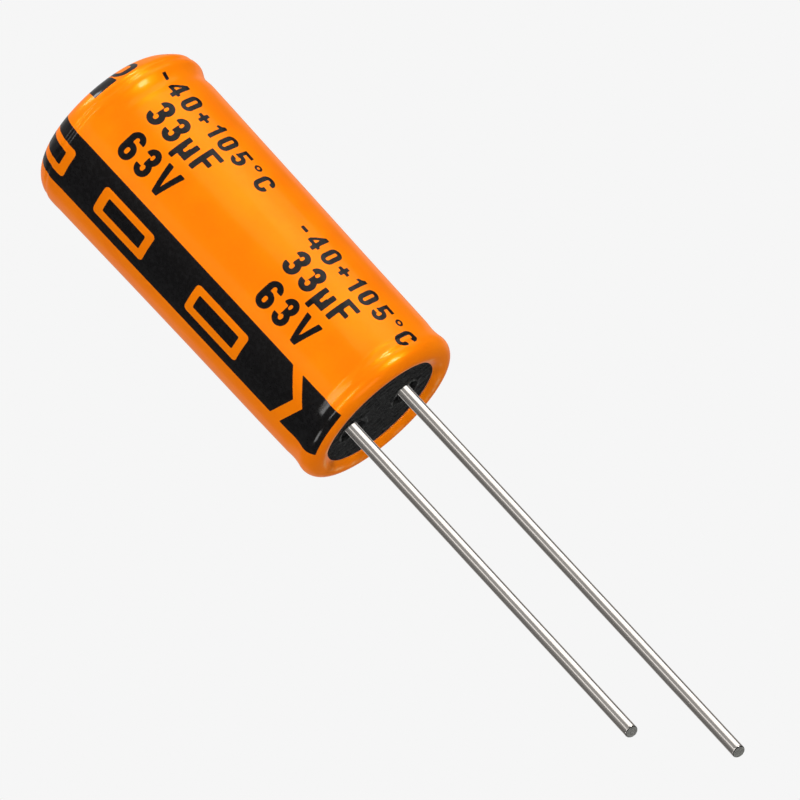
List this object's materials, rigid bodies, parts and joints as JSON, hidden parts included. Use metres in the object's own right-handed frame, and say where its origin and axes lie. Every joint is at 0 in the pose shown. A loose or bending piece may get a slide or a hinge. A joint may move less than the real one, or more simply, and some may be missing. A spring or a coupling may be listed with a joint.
{
  "type": "electrolytic capacitor",
  "caption": "Radial aluminium electrolytic capacitor in a shrunk plastic sleeve with a polarity stripe, a rubber end seal and straight wire leads of unequal length.",
  "frame": {"origin": "on the seating plane that the sleeved rim touches, midway between the two leads, on the can's axis", "axes": "+Z along the can's axis from the leads to the closed end, +X from the negative lead to the positive lead, +Y completes a right-handed frame"},
  "size_m": [0.0088, 0.0088, 0.0402],
  "materials": {
    "sleeve_pvc": "glossy shrink film",
    "print_black": "print on the sleeve",
    "can_aluminium": "drawn",
    "seal_rubber": "matte, mottled",
    "tinned_wire": "bright tin",
    "tab_aluminium": "satin",
    "etched_foil": "etched, dull",
    "plain_foil": "satin",
    "separator_paper": "wet kraft",
    "tape_film": "film tape"
  },
  "bodies": {
    "root": {"sleeve": "sleeve_pvc", "polarity_stripe": "print_black", "can": "can_aluminium", "bung": "seal_rubber", "positive_lead": "tinned_wire", "negative_lead": "tinned_wire", "positive_tab": "tab_aluminium", "negative_tab": "tab_aluminium", "anode_foil": "etched_foil", "cathode_foil": "plain_foil", "inner_separator": "separator_paper", "outer_separator": "separator_paper", "winding_tape": "tape_film"}
  },
  "joints": []
}
